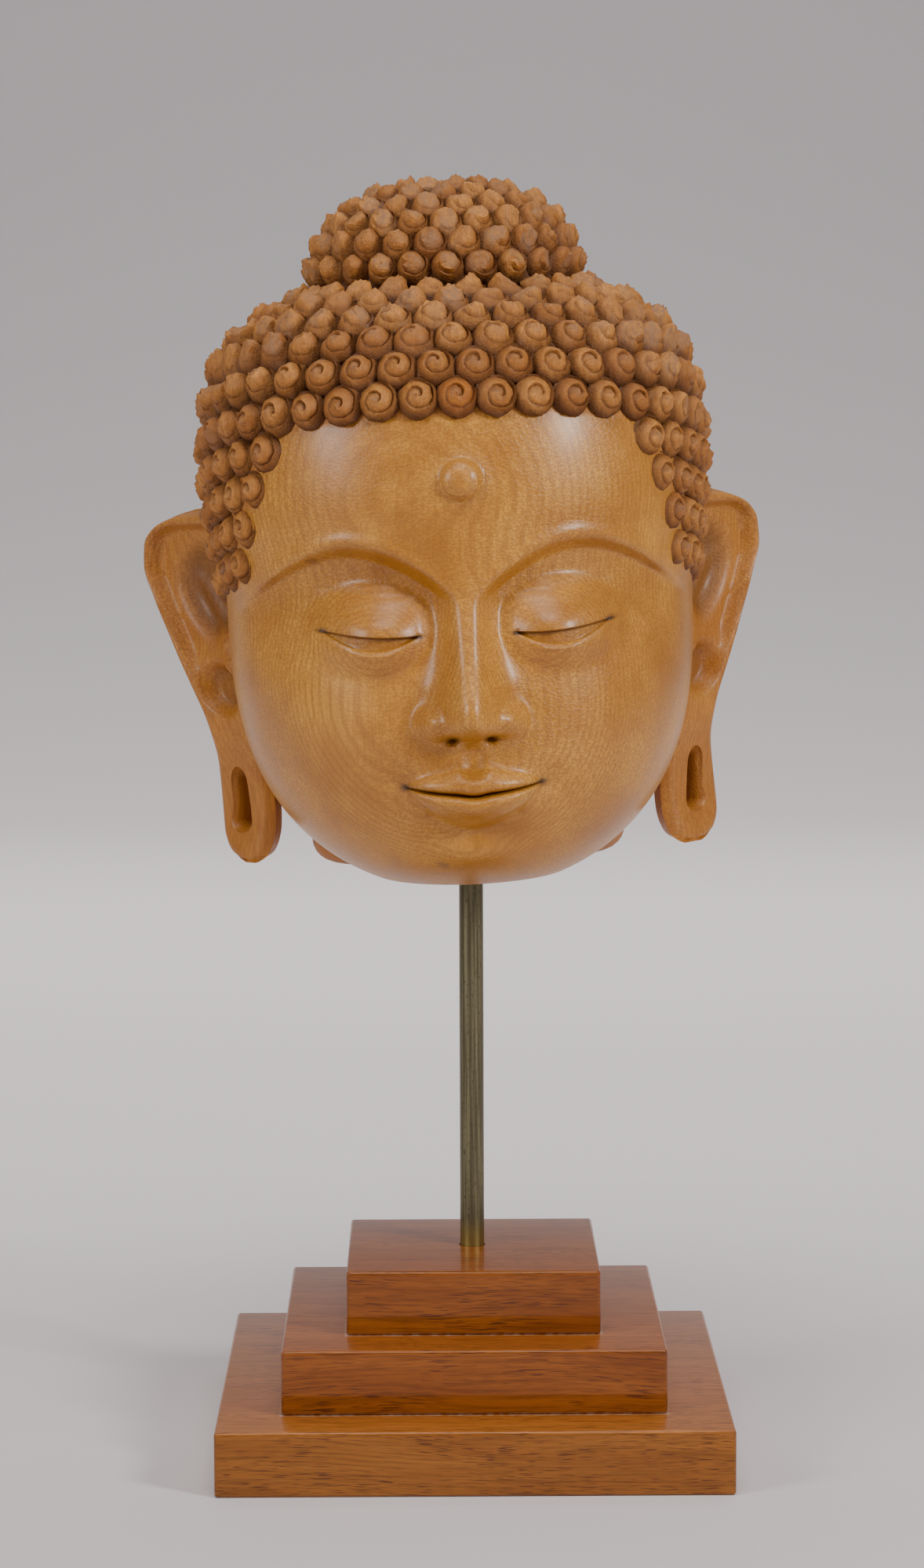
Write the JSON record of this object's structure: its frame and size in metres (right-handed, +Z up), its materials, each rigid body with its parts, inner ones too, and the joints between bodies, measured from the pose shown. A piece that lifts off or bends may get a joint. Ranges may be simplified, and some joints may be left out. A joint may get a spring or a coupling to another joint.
{
  "type": "carved wooden buddha head on a stand",
  "caption": "Carved wooden Buddha head with snail curls and long pierced ears, held up by a brass rod in a stepped square wooden base.",
  "frame": {"origin": "centre of the base's underside, straight below the rod", "axes": "+Z up along the rod, the face looks towards -Y, the bottom board's edges run along X and Y"},
  "size_m": [0.1904, 0.1782, 0.386],
  "materials": {
    "carved_wood": "carved and waxed, satin face and matte hair",
    "aged_brass": "drawn rod, dull olive patina",
    "varnished_wood": "gloss varnish over red-brown straight grain"
  },
  "bodies": {
    "root": {"buddha_head": "carved_wood", "brass_rod": "aged_brass", "base_top_step": "varnished_wood", "base_middle_step": "varnished_wood", "base_bottom_step": "varnished_wood"}
  },
  "joints": []
}
